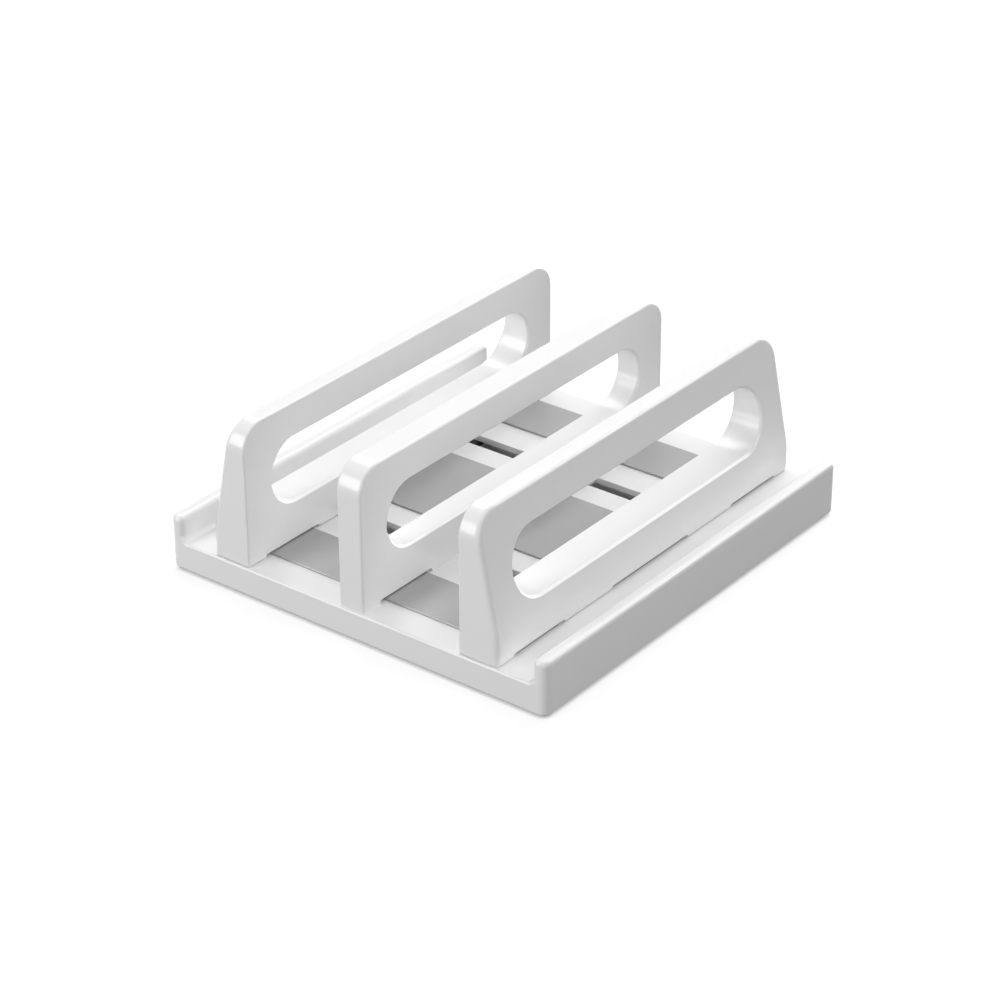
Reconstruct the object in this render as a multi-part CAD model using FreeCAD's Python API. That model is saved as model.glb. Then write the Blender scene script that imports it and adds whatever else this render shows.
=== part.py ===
import FreeCAD, Part
import os

# Vertical laptop stand: a low moulded tray with a fixed centre divider, and a sliding
# divider on each side of it. X runs across the dividers, Y from front to back, Z up.
# The origin is the middle of the footprint, on the surface that the rubber feet touch.
# All sizes are in millimetres.

# Base tray
BASE_WIDTH = 180.0
BASE_DEPTH = 191.6
BASE_HEIGHT = 12.1
PLATE_THICKNESS = 2.6
SIDE_WALL = 2.8
CORNER_RADIUS = 3.4
BOTTOM_EDGE_CHAMFER = 0.8
FRONT_EDGE_ROUND = 1.0

# Raised lips along the left and right edges
LIP_RISE = 10.4
LIP_THICKNESS = 6.0
LIP_TOP_ROUND = 2.0
LIP_END_ROUND = 2.0
LIP_FOOT_ROUND = 2.8

# Dividers
DIVIDER_END_INSET = 0.8
OVERALL_HEIGHT = 71.8
DIVIDER_CORNER = 11.0
WINDOW_HALF_LENGTH = 79.6
WINDOW_RADIUS = 13.4
WINDOW_CENTRE_RISE = 30.9
WINDOW_EDGE_CHAMFER = 0.9

# Centre divider, moulded with the tray
CENTRE_FOOT_THICKNESS = 11.4
CENTRE_TOP_THICKNESS = 11.2
CENTRE_EDGE_ROUND = 1.0

# Sliding dividers: nearly upright inner face, sloping outer face, upright foot
SLOT_GAP = 44.7
INNER_DRAFT = 0.1
FOOT_THICKNESS = 17.4
TOP_THICKNESS = 7.7
FOOT_RISE = 11.0
FOOT_BLEND = 24.0
OUTER_EDGE_ROUND = 2.0
INNER_EDGE_ROUND = 0.7
SLIDE_TRAVEL = 39.0
SEAM_HEIGHT = 0.4
SEAM_DEPTH = 0.6

# Cored underside of a sliding divider
CORE_WALL = 2.6
CORE_RISE = 13.5
CORE_RIBS = (62.0, 20.0)
CORE_RIB_THICKNESS = 2.0

# Grip strips across the tray, and the notches that pass over them
STRIP_END_INSET = 23.2
STRIP_THICKNESS = 1.5
STRIP_PROUD = 0.8
STRIP_EDGE_ROUND = 0.3
MIDDLE_STRIP_WIDTH = 46.4
END_STRIP_WIDTH = 24.4
END_STRIP_INSET = 26.1
STRIP_POCKET_GAP = 0.1
NOTCH_HEIGHT = 1.4
END_NOTCH_MARGIN = 3.0
MIDDLE_NOTCH_MARGIN = 1.3

# Guide slots in the tray and the legs that run in them
GUIDE_OFFSET = 39.1
GUIDE_WIDTH = 7.4
GUIDE_INNER_END = 10.8
GUIDE_END_GAP = 1.0
LEG_SIDE_GAP = 0.25
LEG_LENGTH = 11.0
LEG_INSET = 0.8
LEG_SHORTFALL = 0.2
LEG_BLOCK_WIDTH = 16.0

# Clamp under each leg: shoe, square washer, cap screw and square nut
SHOE_LENGTH = 18.0
SHOE_WIDTH = 17.0
SHOE_THICKNESS = 2.4
SHOE_CORNER_CHAMFER = 2.0
SCREW_RADIUS = 1.5
SCREW_HOLE_GAP = 0.1
CLAMP_SCREW_LENGTH = 7.5
HEAD_RADIUS = 2.75
HEAD_HEIGHT = 1.65
HEX_KEY = 2.0
HEX_DEPTH = 1.1
WASHER_SIDE = 7.0
WASHER_THICKNESS = 0.5
NUT_SIDE = 5.5
NUT_THICKNESS = 1.8
NUT_RISE = 1.7
NUT_GAP = 0.1
THREAD_GAP = 0.03

# Rails, stops and stiffeners under the tray plate
RAIL_GAP = 0.4
RAIL_THICKNESS = 1.6
STOP_GAP = 0.2
STIFFENER_HEIGHT = 3.0
STIFFENER_THICKNESS = 1.4
STIFFENER_PLACES = (28.0, 56.0)

# Bottom cover, held by clips on the tray walls
COVER_THICKNESS = 2.0
COVER_GAP = 0.2
CAVITY_CORNER = 1.6
KEY_SLOT_WIDTH = 3.6
CLIP_INSET = 25.8
CLIP_WIDTH = 8.0
CLIP_THICKNESS = 1.5
CLIP_BARB = 0.8
CLIP_BARB_HEIGHT = 1.3
CLIP_GAP = 0.1
CATCH_RISE = 2.0
CATCH_HEIGHT = 1.5
CATCH_DEPTH = 1.0
CATCH_CLEARANCE = 0.3

# Rubber feet in shallow recesses of the cover
FOOT_PAD_LENGTH = 18.0
FOOT_PAD_WIDTH = 10.0
FOOT_CORNER = 2.5
FOOT_PROUD = 1.0
FOOT_RECESS = 0.8
FOOT_RECESS_GAP = 0.1
FOOT_INSET_X = 16.0
FOOT_INSET_Y = 12.8

# Levels and places worked out from the sizes above
TRAY_BOTTOM = FOOT_PROUD
TRAY_TOP = TRAY_BOTTOM + BASE_HEIGHT
PLATE_UNDER = TRAY_TOP - PLATE_THICKNESS
LIP_TOP = TRAY_TOP + LIP_RISE
DIVIDER_LENGTH = BASE_DEPTH - 2 * DIVIDER_END_INSET
DIVIDER_TOP = OVERALL_HEIGHT
WINDOW_CENTRE = TRAY_TOP + WINDOW_CENTRE_RISE
COVER_TOP = TRAY_BOTTOM + COVER_THICKNESS
SHOE_UNDER = PLATE_UNDER - SHOE_THICKNESS
WASHER_UNDER = SHOE_UNDER - WASHER_THICKNESS
INNER_FOOT_X = CENTRE_FOOT_THICKNESS / 2 + SLOT_GAP
OUTER_FOOT_X = INNER_FOOT_X + FOOT_THICKNESS
LEG_INNER_X = INNER_FOOT_X + LEG_INSET
LEG_X = LEG_INNER_X + LEG_LENGTH / 2
LEG_WIDTH = GUIDE_WIDTH - 2 * LEG_SIDE_GAP
LEG_SOLE = PLATE_UNDER + LEG_SHORTFALL
NUT_UNDER = LEG_SOLE + NUT_RISE
RAIL_OFFSET = SHOE_WIDTH / 2 + RAIL_GAP
STRIP_HALF_LENGTH = BASE_WIDTH / 2 - STRIP_END_INSET
END_STRIP_OFFSET = BASE_DEPTH / 2 - END_STRIP_INSET
FOOT_X = BASE_WIDTH / 2 - FOOT_INSET_X
FOOT_Y = BASE_DEPTH / 2 - FOOT_INSET_Y
CAVITY_X = BASE_WIDTH / 2 - SIDE_WALL
CAVITY_Y = BASE_DEPTH / 2 - SIDE_WALL
OVERCUT = 5.0

# Middle place, width and notch margin of each grip strip
STRIPS = (
    (-END_STRIP_OFFSET, END_STRIP_WIDTH, END_NOTCH_MARGIN),
    (0.0, MIDDLE_STRIP_WIDTH, MIDDLE_NOTCH_MARGIN),
    (END_STRIP_OFFSET, END_STRIP_WIDTH, END_NOTCH_MARGIN),
)
GUIDES = (-GUIDE_OFFSET, GUIDE_OFFSET)
CLIP_PLACES = (CLIP_INSET - BASE_DEPTH / 2, 0.0, BASE_DEPTH / 2 - CLIP_INSET)
FOOT_PLACES = [(x, y) for x in (-FOOT_X, FOOT_X) for y in (-FOOT_Y, FOOT_Y)]


def vec(x, y, z):
    return FreeCAD.Vector(x, y, z)


def block(x0, x1, y0, y1, z0, z1):
    return Part.makeBox(x1 - x0, y1 - y0, z1 - z0, vec(x0, y0, z0))


def rod(radius, x, y, z0, z1):
    return Part.makeCylinder(radius, z1 - z0, vec(x, y, z0), vec(0, 0, 1))


def prism(points, y0, y1):
    """Closed outline of (x, z) points, drawn along the length of the stand."""
    wire = Part.makePolygon([vec(x, y0, z) for x, z in points + points[:1]])
    return Part.Face(wire).extrude(vec(0, y1 - y0, 0))


def fuse_all(solids):
    return solids[0].multiFuse(solids[1:]).removeSplitter()


def cut_all(solid, tools):
    return solid.cut(Part.makeCompound(tools))


def edges_where(solid, test):
    """Edges whose two ends and middle all pass the test."""
    chosen = []
    for edge in solid.Edges:
        first, last = edge.ParameterRange
        points = [edge.valueAt(first + (last - first) * t) for t in (0.0, 0.5, 1.0)]
        if all(test(p) for p in points):
            chosen.append(edge)
    return chosen


def near(value, target):
    return abs(value - target) < 0.01


def mirrored(solid):
    return solid.mirror(vec(0, 0, 0), vec(1, 0, 0))


def corner_edges(plate, half_x, half_y):
    """Upright edges at the four corners of a plate centred on the origin."""
    return edges_where(plate, lambda p: near(abs(p.x), half_x) and near(abs(p.y), half_y))


def rounded_plate(half_x, half_y, z0, z1, radius):
    plate = block(-half_x, half_x, -half_y, half_y, z0, z1)
    return plate.makeFillet(radius, corner_edges(plate, half_x, half_y))


def edge_ends(edge):
    first, last = edge.ParameterRange
    return edge.valueAt(first), edge.valueAt(last)


def varied_fillet(solid, radii_of):
    """Round edges in one step; radii_of gives an edge's radii at its two ends, or None."""
    rows = []
    for number, edge in enumerate(solid.Edges, 1):
        radii = radii_of(edge)
        if radii:
            rows.append((number, *radii))
    document = FreeCAD.newDocument()
    base = document.addObject("Part::Feature", "Base")
    base.Shape = solid
    fillet = document.addObject("Part::Fillet", "Rounded")
    fillet.Base = base
    fillet.Edges = rows
    document.recompute()
    rounded = fillet.Shape.copy()
    FreeCAD.closeDocument(document.Name)
    return rounded


def tray_block():
    """Floor between two lips with coved feet and round outer corners, edges still sharp."""
    half_depth = BASE_DEPTH / 2
    outer = BASE_WIDTH / 2
    inner = outer - LIP_THICKNESS
    tray = block(-outer, outer, -half_depth, half_depth, TRAY_BOTTOM, LIP_TOP)
    tray = tray.cut(block(-inner, inner, -BASE_DEPTH, BASE_DEPTH, TRAY_TOP, LIP_TOP + OVERCUT))
    feet = edges_where(tray, lambda p: near(abs(p.x), inner) and near(p.z, TRAY_TOP))
    tray = tray.makeFillet(LIP_FOOT_ROUND, feet)
    return tray.makeFillet(CORNER_RADIUS, corner_edges(tray, outer, half_depth))


def tray_form():
    """Outside form of the tray, with its edges rounded."""
    half_depth = BASE_DEPTH / 2
    lip_inner = BASE_WIDTH / 2 - LIP_THICKNESS

    def radii_of(edge):
        ends = edge_ends(edge)
        points = ends + (edge.CenterOfMass,)
        if all(near(p.z, LIP_TOP) for p in points):
            return LIP_TOP_ROUND, LIP_TOP_ROUND
        if all(near(abs(p.y), half_depth) for p in points) and not near(edge.CenterOfMass.z, TRAY_BOTTOM):
            return [LIP_END_ROUND if near(abs(p.x), lip_inner) else FRONT_EDGE_ROUND for p in ends]
        return None

    tray = varied_fillet(tray_block(), radii_of)
    return tray.makeChamfer(BOTTOM_EDGE_CHAMFER, edges_where(tray, lambda p: near(p.z, TRAY_BOTTOM)))


def divider_outline(rise_from):
    """Side view of a divider as a solid slab: upright ends and large round top corners."""
    half = DIVIDER_LENGTH / 2
    slab = block(0, 1, -half, half, rise_from, DIVIDER_TOP)
    corners = edges_where(slab, lambda p: near(abs(p.y), half) and near(p.z, DIVIDER_TOP))
    return slab.makeFillet(DIVIDER_CORNER, corners)


def side_slab(x0, x1, rise_from):
    """The same side view, from x0 to x1."""
    face = [f for f in divider_outline(rise_from).Faces if near(f.CenterOfMass.x, 0)][0]
    slab = face.extrude(vec(x1 - x0, 0, 0))
    slab.translate(vec(x0, 0, 0))
    return slab


def window_cutter(x0, x1):
    """Long opening with half-round ends."""
    middle = WINDOW_HALF_LENGTH - WINDOW_RADIUS
    low = WINDOW_CENTRE - WINDOW_RADIUS
    high = WINDOW_CENTRE + WINDOW_RADIUS
    cutter = block(x0, x1, -middle, middle, low, high)
    for y in (-middle, middle):
        end = Part.makeCylinder(WINDOW_RADIUS, x1 - x0, vec(x0, y, WINDOW_CENTRE), vec(1, 0, 0))
        cutter = cutter.fuse(end)
    return cutter.removeSplitter()


def runs_across(edge):
    """True for an edge along X, such as the line where an arc of the side view ends."""
    a, b = edge_ends(edge)
    return near(a.y, b.y) and near(a.z, b.z)


def rim_edges(solid):
    """Rims of both sides of a divider, along its ends, corners and top."""
    half = DIVIDER_LENGTH / 2

    def on_outline(p):
        along = abs(p.y) - (half - DIVIDER_CORNER)
        up = p.z - (DIVIDER_TOP - DIVIDER_CORNER)
        if along > 0 and up > 0:
            return near((along ** 2 + up ** 2) ** 0.5, DIVIDER_CORNER)
        return near(abs(p.y), half) or near(p.z, DIVIDER_TOP)

    return [e for e in edges_where(solid, on_outline) if not runs_across(e)]


def window_edges(solid):
    """Both rims of the window."""
    middle = WINDOW_HALF_LENGTH - WINDOW_RADIUS

    def on_rim(p):
        along = max(0.0, abs(p.y) - middle)
        return near((along ** 2 + (p.z - WINDOW_CENTRE) ** 2) ** 0.5, WINDOW_RADIUS)

    return [e for e in edges_where(solid, on_rim) if not runs_across(e)]


def with_window(divider):
    wide = BASE_WIDTH / 2
    divider = divider.cut(window_cutter(-wide, wide))
    return divider.makeChamfer(WINDOW_EDGE_CHAMFER, window_edges(divider))


def notch_cutters(x0, x1):
    """Shallow gaps under a divider, a little longer than the strips they pass over."""
    cutters = []
    for y, width, margin in STRIPS:
        half = width / 2 + margin
        cutters.append(block(x0, x1, y - half, y + half, TRAY_TOP, TRAY_TOP + NOTCH_HEIGHT))
    return cutters


def centre_divider():
    """Fixed divider with a little draft, standing on the tray floor."""
    foot = CENTRE_FOOT_THICKNESS / 2
    top = CENTRE_TOP_THICKNESS / 2
    points = [(-foot, PLATE_UNDER), (foot, PLATE_UNDER), (top, DIVIDER_TOP), (-top, DIVIDER_TOP)]
    form = prism(points, -DIVIDER_LENGTH, DIVIDER_LENGTH)
    divider = side_slab(-foot, foot, PLATE_UNDER).common(form)
    divider = divider.makeFillet(CENTRE_EDGE_ROUND, rim_edges(divider))
    return with_window(divider)


def divider_blank():
    """Sliding divider before its underside is worked: draft, slope, soft knee and rims."""
    top_x = INNER_FOOT_X + INNER_DRAFT
    knee = TRAY_TOP + FOOT_RISE
    points = [
        (INNER_FOOT_X, TRAY_TOP),
        (OUTER_FOOT_X, TRAY_TOP),
        (OUTER_FOOT_X, knee),
        (top_x + TOP_THICKNESS, DIVIDER_TOP),
        (top_x, DIVIDER_TOP),
    ]
    form = prism(points, -DIVIDER_LENGTH, DIVIDER_LENGTH)
    form = form.makeFillet(FOOT_BLEND, edges_where(form, lambda p: near(p.z, knee)))
    blank = side_slab(INNER_FOOT_X, OUTER_FOOT_X, TRAY_TOP).common(form)
    rims = rim_edges(blank)

    def radii_of(edge):
        if not any(edge.isSame(rim) for rim in rims):
            return None
        inner = edge.CenterOfMass.x < top_x + TOP_THICKNESS / 2
        radius = INNER_EDGE_ROUND if inner else OUTER_EDGE_ROUND
        return radius, radius

    return with_window(varied_fillet(blank, radii_of))


def core_spans():
    """Stretches of the foot that are cored out, between its end walls, ribs and leg blocks."""
    end = DIVIDER_LENGTH / 2 - CORE_WALL
    walls = [(GUIDE_OFFSET, LEG_BLOCK_WIDTH / 2)]
    walls += [(place, CORE_RIB_THICKNESS / 2) for place in CORE_RIBS]
    walls = sorted(walls + [(-y, half) for y, half in walls])
    starts = [-end] + [y + half for y, half in walls]
    stops = [y - half for y, half in walls] + [end]
    return list(zip(starts, stops))


def core_cutter(inner, outer, taper, low, y0, y1):
    """Pocket from below that narrows on its way up."""
    high = TRAY_TOP + CORE_RISE
    points = [(inner, low), (outer, low), (outer - taper, high), (inner + taper, high)]
    return prism(points, y0, y1)


def foot_cores():
    """Pockets that leave even walls in the foot of a sliding divider."""
    inner = INNER_FOOT_X + CORE_WALL
    outer = OUTER_FOOT_X - CORE_WALL
    return [core_cutter(inner, outer, INNER_DRAFT, TRAY_TOP, y0, y1) for y0, y1 in core_spans()]


def seam_cutter():
    """Shadow line around the lower edge of a sliding divider."""
    half = DIVIDER_LENGTH / 2 - SEAM_DEPTH
    top = TRAY_TOP + SEAM_HEIGHT
    around = block(0, BASE_WIDTH, -BASE_DEPTH, BASE_DEPTH, TRAY_TOP, top)
    return around.cut(block(INNER_FOOT_X + SEAM_DEPTH, OUTER_FOOT_X - SEAM_DEPTH, -half, half, TRAY_TOP, top))


def leg(y):
    """Leg that runs in a guide slot and reaches up into the foot."""
    half = LEG_WIDTH / 2
    return block(LEG_INNER_X, LEG_INNER_X + LEG_LENGTH, y - half, y + half, LEG_SOLE, TRAY_TOP + CORE_WALL)


def leg_cutters(y):
    """Screw hole of a leg, and the pocket into which its nut slides from behind."""
    half = NUT_SIDE / 2 + NUT_GAP
    pocket_top = NUT_UNDER + NUT_THICKNESS + NUT_GAP
    hole_top = WASHER_UNDER + CLAMP_SCREW_LENGTH + NUT_GAP
    return [
        rod(SCREW_RADIUS + SCREW_HOLE_GAP, LEG_X, y, LEG_SOLE, hole_top),
        block(LEG_X - half, LEG_X + half, y - half, y + LEG_BLOCK_WIDTH, NUT_UNDER, pocket_top),
    ]


def right_divider():
    """Sliding divider with its cored foot, strip notches and two bored legs."""
    notches = notch_cutters(INNER_FOOT_X - OVERCUT, OUTER_FOOT_X + OVERCUT)
    divider = cut_all(divider_blank(), foot_cores() + notches + [seam_cutter()])
    divider = fuse_all([divider] + [leg(y) for y in GUIDES])
    return cut_all(divider, [cutter for y in GUIDES for cutter in leg_cutters(y)])


def shoe(y):
    """Flat clamp shoe that slides under the tray plate."""
    half_x = SHOE_LENGTH / 2
    half_y = SHOE_WIDTH / 2
    plate = block(-half_x, half_x, -half_y, half_y, SHOE_UNDER, PLATE_UNDER)
    plate = plate.makeChamfer(SHOE_CORNER_CHAMFER, corner_edges(plate, half_x, half_y))
    plate.translate(vec(LEG_X, y, 0))
    return plate.cut(rod(SCREW_RADIUS + SCREW_HOLE_GAP, LEG_X, y, SHOE_UNDER, PLATE_UNDER))


def square_plate(y, side, z0, z1, hole_radius):
    """Square plate with a round hole, centred on a clamp screw."""
    half = side / 2
    plate = block(LEG_X - half, LEG_X + half, y - half, y + half, z0, z1)
    return plate.cut(rod(hole_radius, LEG_X, y, z0, z1))


def washer(y):
    return square_plate(y, WASHER_SIDE, WASHER_UNDER, SHOE_UNDER, SCREW_RADIUS + SCREW_HOLE_GAP)


def square_nut(y):
    return square_plate(y, NUT_SIDE, NUT_UNDER, NUT_UNDER + NUT_THICKNESS, SCREW_RADIUS + THREAD_GAP)


def clamp_screw(y):
    """Cap screw with a hexagon socket, head down."""
    head_low = WASHER_UNDER - HEAD_HEIGHT
    head = rod(HEAD_RADIUS, LEG_X, y, head_low, WASHER_UNDER)
    shank = rod(SCREW_RADIUS, LEG_X, y, WASHER_UNDER, WASHER_UNDER + CLAMP_SCREW_LENGTH)
    return fuse_all([head, shank]).cut(hex_socket(LEG_X, y, head_low))


def hex_socket(x, y, z):
    """Blind hexagon recess for a key, open downwards."""
    corner = HEX_KEY / 3 ** 0.5
    turn = FreeCAD.Rotation(vec(0, 0, 1), 60)
    points = [vec(corner, 0, 0)]
    for _ in range(5):
        points.append(turn.multVec(points[-1]))
    socket = Part.Face(Part.makePolygon(points + points[:1])).extrude(vec(0, 0, HEX_DEPTH))
    socket.translate(vec(x, y, z))
    return socket


def grip_strip(y, width):
    """Soft strip lying in a shallow pocket, a little proud of the tray."""
    half = width / 2
    top = TRAY_TOP + STRIP_PROUD
    strip = block(-STRIP_HALF_LENGTH, STRIP_HALF_LENGTH, y - half, y + half, top - STRIP_THICKNESS, top)
    return strip.makeFillet(STRIP_EDGE_ROUND, edges_where(strip, lambda p: near(p.z, top)))


def strip_pockets():
    half_x = STRIP_HALF_LENGTH + STRIP_POCKET_GAP
    floor = TRAY_TOP + STRIP_PROUD - STRIP_THICKNESS
    pockets = []
    for y, width, _ in STRIPS:
        half_y = width / 2 + STRIP_POCKET_GAP
        pockets.append(block(-half_x, half_x, y - half_y, y + half_y, floor, TRAY_TOP))
    return pockets


def guide_slots():
    """Slots in the tray plate for the legs; their outer ends stay hidden under the dividers."""
    outer_end = LEG_INNER_X + LEG_LENGTH + GUIDE_END_GAP
    half = GUIDE_WIDTH / 2
    slots = []
    for y in GUIDES:
        slot = block(GUIDE_INNER_END, outer_end, y - half, y + half, PLATE_UNDER, TRAY_TOP)
        slots += [slot, mirrored(slot)]
    return slots


def plate_wall(x0, x1, y0, y1):
    """Wall under the plate that reaches down to the cover."""
    return block(x0, x1, y0, y1, COVER_TOP, PLATE_UNDER)


def shoe_rails():
    """Rails that keep the shoes straight, and a stop wall at each end of their travel."""
    walls = []
    inner_stop = LEG_X - SHOE_LENGTH / 2 - SLIDE_TRAVEL - STOP_GAP
    outer_stop = LEG_X + SHOE_LENGTH / 2 + STOP_GAP
    for y in GUIDES:
        front = y - RAIL_OFFSET
        rear = y + RAIL_OFFSET
        walls.append(plate_wall(-CAVITY_X, CAVITY_X, front - RAIL_THICKNESS, front))
        walls.append(plate_wall(-CAVITY_X, CAVITY_X, rear, rear + RAIL_THICKNESS))
        for x in (inner_stop - RAIL_THICKNESS, outer_stop):
            stop = plate_wall(x, x + RAIL_THICKNESS, front, rear)
            walls += [stop, mirrored(stop)]
    return walls


def stiffeners():
    """Low ribs under the plate, and a full-height spine under the centre divider."""
    half = STIFFENER_THICKNESS / 2
    low = PLATE_UNDER - STIFFENER_HEIGHT
    middle_bay = GUIDE_OFFSET - RAIL_OFFSET
    end_bay = GUIDE_OFFSET + RAIL_OFFSET
    spans = ((-CAVITY_Y, -end_bay), (-middle_bay, middle_bay), (end_bay, CAVITY_Y))
    ribs = []
    for y0, y1 in spans:
        ribs.append(plate_wall(-half, half, y0, y1))
        for x in STIFFENER_PLACES:
            rib = block(x - half, x + half, y0, y1, low, PLATE_UNDER)
            ribs += [rib, mirrored(rib)]
    return ribs


def centre_cores():
    """Pockets that thin the centre divider from below, where no strip passes over them."""
    foot = CENTRE_FOOT_THICKNESS / 2 - CORE_WALL
    taper = (CENTRE_FOOT_THICKNESS - CENTRE_TOP_THICKNESS) / 2
    half = LEG_BLOCK_WIDTH / 2
    return [core_cutter(-foot, foot, taper, PLATE_UNDER, y - half, y + half) for y in GUIDES]


def catches():
    """Small blocks on the side walls, over which the clips of the cover hook."""
    inner = CAVITY_X - CATCH_DEPTH
    low = COVER_TOP + CATCH_RISE
    blocks = []
    for y in CLIP_PLACES:
        half = CLIP_WIDTH / 2
        catch = block(inner, CAVITY_X, y - half, y + half, low, low + CATCH_HEIGHT)
        blocks += [catch, mirrored(catch)]
    return blocks


def base_tray():
    """Tray with lips, fixed centre divider, guide slots, and ribs in its hollow underside."""
    cavity = rounded_plate(CAVITY_X, CAVITY_Y, TRAY_BOTTOM - OVERCUT, PLATE_UNDER, CAVITY_CORNER)
    forms = [tray_form().cut(cavity), centre_divider()]
    tray = fuse_all(forms + shoe_rails() + stiffeners() + catches())
    notches = notch_cutters(-CENTRE_FOOT_THICKNESS, CENTRE_FOOT_THICKNESS)
    return cut_all(tray, guide_slots() + strip_pockets() + notches + centre_cores())


def cover_clip(y):
    """Springy arm whose barb hooks over a catch."""
    outer = CAVITY_X - CATCH_DEPTH - CATCH_CLEARANCE
    inner = outer - CLIP_THICKNESS
    hook = COVER_TOP + CATCH_RISE + CATCH_HEIGHT + CLIP_GAP
    top = hook + CLIP_BARB_HEIGHT
    points = [
        (inner, COVER_TOP),
        (outer, COVER_TOP),
        (outer, hook),
        (outer + CLIP_BARB, hook),
        (outer, top),
        (inner, top),
    ]
    return prism(points, y - CLIP_WIDTH / 2, y + CLIP_WIDTH / 2)


def key_slot(y):
    """Slot in the cover, as long as the travel, through which a key reaches a clamp screw."""
    half = KEY_SLOT_WIDTH / 2
    return block(LEG_X - SLIDE_TRAVEL - half, LEG_X + half, y - half, y + half, TRAY_BOTTOM, COVER_TOP)


def bottom_cover():
    """Flat cover inside the tray walls."""
    half_x = CAVITY_X - COVER_GAP
    half_y = CAVITY_Y - COVER_GAP
    cover = rounded_plate(half_x, half_y, TRAY_BOTTOM, COVER_TOP, CAVITY_CORNER - COVER_GAP)
    clips = [cover_clip(y) for y in CLIP_PLACES]
    cover = fuse_all([cover] + clips + [mirrored(clip) for clip in clips])
    slots = [key_slot(y) for y in GUIDES]
    slots += [mirrored(slot) for slot in slots]
    top = TRAY_BOTTOM + FOOT_RECESS
    recesses = [foot_pad(x, y, TRAY_BOTTOM, top, FOOT_RECESS_GAP) for x, y in FOOT_PLACES]
    return cut_all(cover, slots + recesses)


def foot_pad(x, y, z0, z1, gap):
    """Rounded rectangle of a foot, widened by a gap."""
    half_x = FOOT_PAD_LENGTH / 2 + gap
    half_y = FOOT_PAD_WIDTH / 2 + gap
    pad = rounded_plate(half_x, half_y, z0, z1, FOOT_CORNER + gap)
    pad.translate(vec(x, y, 0))
    return pad


def each_guide(make):
    return Part.makeCompound([make(y) for y in GUIDES])


def right_carriage():
    """Sliding divider and its clamps, by name."""
    front, rear = GUIDES
    return {
        "divider": right_divider(),
        "front_shoe": shoe(front),
        "rear_shoe": shoe(rear),
        "clamp_washers": each_guide(washer),
        "clamp_screws": each_guide(clamp_screw),
        "clamp_nuts": each_guide(square_nut),
    }


def main():
    nodes = {"base_tray": base_tray(), "bottom_cover": bottom_cover()}
    for name, (y, width, _) in zip(("front", "middle", "rear"), STRIPS):
        nodes[f"{name}_grip_strip"] = grip_strip(y, width)
    corners = ("front_left", "rear_left", "front_right", "rear_right")
    for name, (x, y) in zip(corners, FOOT_PLACES):
        nodes[f"{name}_foot"] = foot_pad(x, y, 0, FOOT_PROUD + FOOT_RECESS, 0)
    for name, shape in right_carriage().items():
        nodes[f"right_{name}"] = shape
        nodes[f"left_{name}"] = mirrored(shape)
    os.makedirs("parts", exist_ok=True)
    for name, shape in nodes.items():
        shape.exportStep(f"parts/{name}.step")


main()
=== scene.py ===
"""Looks of a vertical laptop stand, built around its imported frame.

Metres, +Z up, front towards -Y. Materials are given to the CAD nodes, and a pale floor,
soft lamps and the camera make the view.
"""

import bpy
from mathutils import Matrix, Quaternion, Vector

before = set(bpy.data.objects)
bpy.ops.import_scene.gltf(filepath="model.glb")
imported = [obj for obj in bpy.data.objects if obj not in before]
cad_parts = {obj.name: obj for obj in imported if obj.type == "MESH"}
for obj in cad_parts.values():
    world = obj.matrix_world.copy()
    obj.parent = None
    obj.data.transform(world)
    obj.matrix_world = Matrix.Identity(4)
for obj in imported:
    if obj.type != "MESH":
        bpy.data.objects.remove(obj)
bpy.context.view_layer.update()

# Camera that matches the photograph
CAMERA_AT = Vector((0.62513, -0.81316, 0.58180))
CAMERA_LOOK = Vector((-0.53626, 0.69296, -0.48190))
CAMERA_ROLL = -0.00403
CAMERA_LENS = 108.22
CAMERA_SENSOR = 36.0
CAMERA_NEAR = 0.01

# Studio light: place, size in metres and power in watts of each soft lamp
LAMPS = {
    "front_left_lamp": ((-0.85, -1.25, 0.45), 0.9, 15.2),
    "front_right_lamp": ((1.1, -1.1, 0.45), 0.9, 7.8),
    "back_lamp": ((0.0, 1.5, 0.45), 0.9, 16.0),
    "high_back_lamp": ((0.0, 0.9, 1.3), 0.9, 6.0),
    "high_back_left_lamp": ((-0.7, 0.7, 1.3), 0.9, 10.9),
    "high_right_lamp": ((0.9, 0.0, 1.3), 0.9, 6.7),
}
EDGE_LAMP = ((0.77, 1.1, 0.86), 0.5, 5.0)
WORLD_LIGHT = 0.02
WHITE = 1.0

# Floor: half its side, the share of light it throws back up, the share it shows as seen,
# its own glow, and the distances in metres over which that glow rises to white
FLOOR_HALF = 6.0
FLOOR_BOUNCE = 0.05
FLOOR_SHADE = 0.3
FLOOR_GLOW = 0.78
FLOOR_NEAR = 0.5
FLOOR_FAR = 2.5

# Painted shade on the floor under the edges of the stand, a dark line taken out of the floor's glow
# where the floor is closed in: its reach in metres, its samples, how open the floor is where the line is
# darkest and where it ends, and the glow left in it
CONTACT_REACH = 0.002
CONTACT_SAMPLES = 4
CONTACT_CLOSED = 0.1
CONTACT_OPEN = 0.6
PAINTED_SHADE_DARKEST = 0.12

# Part of the noise's range that a material uses
NOISE_LOW = 0.3
NOISE_HIGH = 0.7

# Samples of the softened edges, and the darker tone of rubber and metal beside their main one
EDGE_SAMPLES = 6
DARK_RUBBER = 0.85
DARK_METAL = 0.82

GRIP_STRIPS = ("front_grip_strip", "middle_grip_strip", "rear_grip_strip")
SIDES = ("left", "right")
ENDS = ("front", "rear")


# Nodes

def start_material(name):
    """New material, with its node tree and its main shader."""
    material = bpy.data.materials.new(name)
    material.use_nodes = True
    tree = material.node_tree
    return material, tree, tree.nodes["Principled BSDF"]


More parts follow.
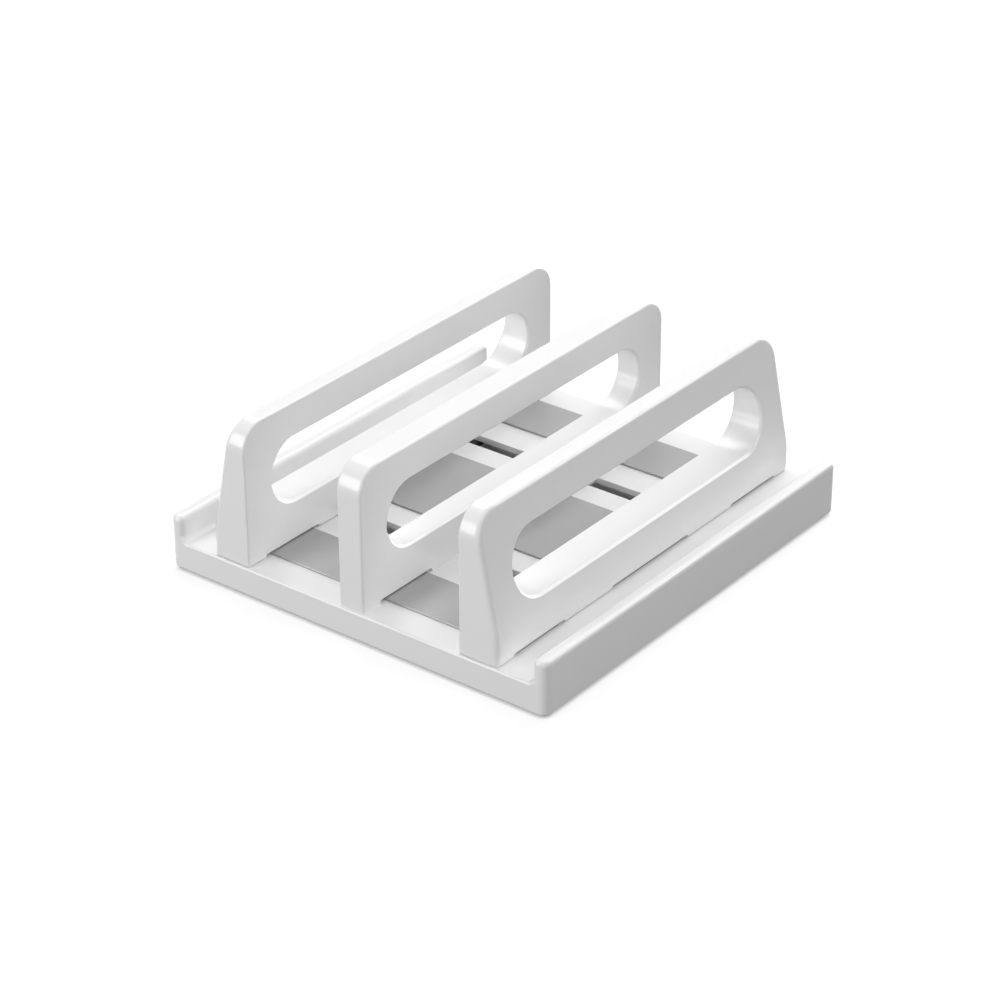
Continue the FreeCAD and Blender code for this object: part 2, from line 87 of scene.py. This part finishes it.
def mapped(tree, value, given, wanted):
    """A value carried from one range over to another, and held within it."""
    node = tree.nodes.new("ShaderNodeMapRange")
    node.inputs["From Min"].default_value = given[0]
    node.inputs["From Max"].default_value = given[1]
    node.inputs["To Min"].default_value = wanted[0]
    node.inputs["To Max"].default_value = wanted[1]
    tree.links.new(value, node.inputs["Value"])
    return node.outputs["Result"]


def combined(tree, operation, first, second):
    """Result of a Math node on two values."""
    node = tree.nodes.new("ShaderNodeMath")
    node.operation = operation
    tree.links.new(first, node.inputs[0])
    tree.links.new(second, node.inputs[1])
    return node.outputs["Value"]


def noise(tree, scale, detail=2.0, stretch=(1.0, 1.0, 1.0)):
    """Noise in the part's own coordinates; scale is in waves per metre."""
    coordinates = tree.nodes.new("ShaderNodeTexCoord")
    mapping = tree.nodes.new("ShaderNodeMapping")
    mapping.inputs["Scale"].default_value = stretch
    texture = tree.nodes.new("ShaderNodeTexNoise")
    texture.inputs["Scale"].default_value = scale
    texture.inputs["Detail"].default_value = detail
    tree.links.new(coordinates.outputs["Object"], mapping.inputs["Vector"])
    tree.links.new(mapping.outputs["Vector"], texture.inputs["Vector"])
    return texture.outputs["Fac"]


def roughened(tree, shader, value, low, high):
    """Roughness between two levels, by a noise."""
    level = mapped(tree, value, (NOISE_LOW, NOISE_HIGH), (low, high))
    tree.links.new(level, shader.inputs["Roughness"])


def tinted(tree, shader, value, dark, light):
    """Colour between two tones, by a noise."""
    ramp = tree.nodes.new("ShaderNodeValToRGB")
    ramp.color_ramp.elements[0].position = NOISE_LOW
    ramp.color_ramp.elements[0].color = (*dark, 1.0)
    ramp.color_ramp.elements[1].position = NOISE_HIGH
    ramp.color_ramp.elements[1].color = (*light, 1.0)
    tree.links.new(value, ramp.inputs["Fac"])
    tree.links.new(ramp.outputs["Color"], shader.inputs["Base Color"])


def bumped(tree, shader, value, depth, strength, edge_radius=0.0):
    """Fine relief, with its depth in metres, over edges that are softened by a small radius."""
    bump = tree.nodes.new("ShaderNodeBump")
    bump.inputs["Distance"].default_value = depth
    bump.inputs["Strength"].default_value = strength
    tree.links.new(value, bump.inputs["Height"])
    if edge_radius:
        soft = tree.nodes.new("ShaderNodeBevel")
        soft.samples = EDGE_SAMPLES
        soft.inputs["Radius"].default_value = edge_radius
        tree.links.new(soft.outputs["Normal"], bump.inputs["Normal"])
    tree.links.new(bump.outputs["Normal"], shader.inputs["Normal"])


# Materials

def grey(level):
    return (level, level, level)


def moulded_plastic(name, tones, roughness, grain, edge_radius=0.0, specular=0.5):
    """Injection-moulded plastic: slight flow tints, uneven gloss and a fine even grain.

    grain is its waves per metre and its depth in metres.
    """
    material, tree, shader = start_material(name)
    grain_scale, grain_depth = grain
    shader.inputs["Specular IOR Level"].default_value = specular
    tinted(tree, shader, noise(tree, 14.0), *tones)
    roughened(tree, shader, noise(tree, 60.0), *roughness)
    bumped(tree, shader, noise(tree, grain_scale, 1.0), grain_depth, 0.5, edge_radius)
    return material


def silicone(name, tones):
    """Smooth silicone with a clear sheen and a very faint dusty haze."""
    material, tree, shader = start_material(name)
    shader.inputs["Specular IOR Level"].default_value = 0.85
    tinted(tree, shader, noise(tree, 40.0, 3.0), *tones)
    roughened(tree, shader, noise(tree, 90.0), 0.16, 0.22)
    bumped(tree, shader, noise(tree, 260.0, 1.0), 0.000006, 0.5)
    return material


def rubber(name, tone):
    """Matt mottled rubber with a fine grain."""
    material, tree, shader = start_material(name)
    mottle = noise(tree, 300.0, 4.0)
    tinted(tree, shader, mottle, tuple(DARK_RUBBER * c for c in tone), tone)
    roughened(tree, shader, mottle, 0.62, 0.8)
    bumped(tree, shader, noise(tree, 2600.0), 0.00008, 0.6)
    return material


def turned_metal(name, tone, roughness):
    """Metal with fine rings from turning or rolling, and slight stains."""
    material, tree, shader = start_material(name)
    shader.inputs["Metallic"].default_value = 1.0
    rings = noise(tree, 5000.0, 1.0, (1.0, 1.0, 0.1))
    stain = noise(tree, 500.0, 3.0)
    tinted(tree, shader, stain, tuple(DARK_METAL * c for c in tone), tone)
    roughened(tree, shader, rings, *roughness)
    bumped(tree, shader, rings, 0.00002, 0.4)
    return material


def wear(node, material):
    """Gives a CAD node one material."""
    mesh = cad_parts[node].data
    mesh.materials.clear()
    mesh.materials.append(material)


def dress():
    """Materials of all the CAD nodes."""
    white = moulded_plastic("white_moulding", (grey(0.848), grey(0.861)), (0.20, 0.26),
                            (220.0, 0.000004), edge_radius=0.0003)
    cover = moulded_plastic("cover_plastic", ((0.016, 0.016, 0.017), (0.022, 0.022, 0.023)),
                            (0.50, 0.62), (900.0, 0.00006), specular=0.2)
    shoe = moulded_plastic("shoe_plastic", ((0.018, 0.018, 0.02), (0.03, 0.03, 0.032)),
                           (0.38, 0.5), (2200.0, 0.00006))
    strip = silicone("grip_silicone", (grey(0.363), grey(0.388)))
    foot = rubber("foot_rubber", (0.035, 0.035, 0.038))
    steel = turned_metal("screw_steel", (0.60, 0.60, 0.62), (0.24, 0.4))
    washer = turned_metal("washer_steel", (0.66, 0.66, 0.67), (0.28, 0.42))
    nut = turned_metal("nut_steel", (0.62, 0.61, 0.58), (0.3, 0.45))
    wear("base_tray", white)
    wear("bottom_cover", cover)
    for node in GRIP_STRIPS:
        wear(node, strip)
    for side in SIDES:
        wear(f"{side}_divider", white)
        wear(f"{side}_clamp_screws", steel)
        wear(f"{side}_clamp_washers", washer)
        wear(f"{side}_clamp_nuts", nut)
        for end in ENDS:
            wear(f"{side}_{end}_shoe", shoe)
            wear(f"{end}_{side}_foot", foot)


# Floor, lamps and camera

def place(name, data):
    """New object in the scene."""
    obj = bpy.data.objects.new(name, data)
    bpy.context.scene.collection.objects.link(obj)
    return obj


def seen_rays(tree):
    """1 for rays from the camera, a mirror or a clear body, and 0 for light that falls on things."""
    path = tree.nodes.new("ShaderNodeLightPath")
    value = path.outputs["Is Camera Ray"]
    for kind in ("Is Glossy Ray", "Is Transmission Ray"):
        value = combined(tree, "MAXIMUM", value, path.outputs[kind])
    return value


def matt(tree, level):
    """Plain matt shader in a grey."""
    node = tree.nodes.new("ShaderNodeBsdfDiffuse")
    node.inputs["Color"].default_value = (*grey(level), 1.0)
    return node.outputs["BSDF"]


def floor_glow(tree):
    """The floor's own light: white far off, with painted shade dimming it right under the edges of the
    stand.
    """
    coordinates = tree.nodes.new("ShaderNodeTexCoord")
    distance = tree.nodes.new("ShaderNodeVectorMath")
    distance.operation = "LENGTH"
    tree.links.new(coordinates.outputs["Object"], distance.inputs[0])
    away = mapped(tree, distance.outputs["Value"], (FLOOR_NEAR, FLOOR_FAR), (FLOOR_GLOW, WHITE))
    # Painted shade: the glow dims where the floor is closed in, right under the edges of the stand
    closeness = tree.nodes.new("ShaderNodeAmbientOcclusion")
    closeness.samples = CONTACT_SAMPLES
    closeness.inputs["Distance"].default_value = CONTACT_REACH
    clear = mapped(tree, closeness.outputs["AO"], (CONTACT_CLOSED, CONTACT_OPEN), (PAINTED_SHADE_DARKEST, 1.0))
    glow = tree.nodes.new("ShaderNodeEmission")
    tree.links.new(combined(tree, "MULTIPLY", away, clear), glow.inputs["Strength"])
    return glow.outputs["Emission"]


def pale_floor():
    """Floor that keeps the stand's cast shadow, with painted shade added under its edges, looks white
    and throws little light back up.
    """
    mesh = bpy.data.meshes.new("floor")
    corners = [(x * FLOOR_HALF, y * FLOOR_HALF, 0.0) for x, y in ((-1, -1), (1, -1), (1, 1), (-1, 1))]
    mesh.from_pydata(corners, [], [(0, 1, 2, 3)])
    floor = place("floor", mesh)
    material, tree, shader = start_material("floor_paper")
    tree.nodes.remove(shader)
    lit = tree.nodes.new("ShaderNodeAddShader")
    mix = tree.nodes.new("ShaderNodeMixShader")
    tree.links.new(matt(tree, FLOOR_SHADE), lit.inputs[0])
    tree.links.new(floor_glow(tree), lit.inputs[1])
    tree.links.new(seen_rays(tree), mix.inputs["Fac"])
    tree.links.new(matt(tree, FLOOR_BOUNCE), mix.inputs[1])
    tree.links.new(lit.outputs["Shader"], mix.inputs[2])
    tree.links.new(mix.outputs["Shader"], tree.nodes["Material Output"].inputs["Surface"])
    mesh.materials.append(material)


def studio_world():
    """Faint even light from all round, in front of a white background."""
    world = bpy.data.worlds.new("studio")
    world.use_nodes = True
    bpy.context.scene.world = world
    tree = world.node_tree
    background = tree.nodes["Background"]
    level = mapped(tree, seen_rays(tree), (0.0, 1.0), (WORLD_LIGHT, WHITE))
    tree.links.new(level, background.inputs["Strength"])
    background.inputs["Color"].default_value = (*grey(WHITE), 1.0)


def lamp(name, at, size, power, gloss_only=False):
    """Square soft lamp that faces the stand and isn't seen itself."""
    data = bpy.data.lights.new(name, "AREA")
    data.shape = "SQUARE"
    data.size = size
    data.energy = power
    obj = place(name, data)
    obj.location = at
    obj.rotation_euler = (-Vector(at)).to_track_quat("-Z", "Y").to_euler()
    obj.visible_camera = False
    obj.visible_diffuse = not gloss_only


def camera():
    """Camera at the photograph's place, and the scene's own."""
    data = bpy.data.cameras.new("camera")
    data.lens = CAMERA_LENS
    data.sensor_width = CAMERA_SENSOR
    data.clip_start = CAMERA_NEAR
    obj = place("camera", data)
    obj.location = CAMERA_AT
    turn = CAMERA_LOOK.to_track_quat("-Z", "Y") @ Quaternion((0.0, 0.0, 1.0), CAMERA_ROLL)
    obj.rotation_euler = turn.to_euler()
    bpy.context.scene.camera = obj


dress()
pale_floor()
studio_world()
for name, (at, size, power) in LAMPS.items():
    lamp(name, at, size, power)
lamp("edge_lamp", *EDGE_LAMP, gloss_only=True)
camera()
bpy.context.scene.view_settings.view_transform = "Standard"
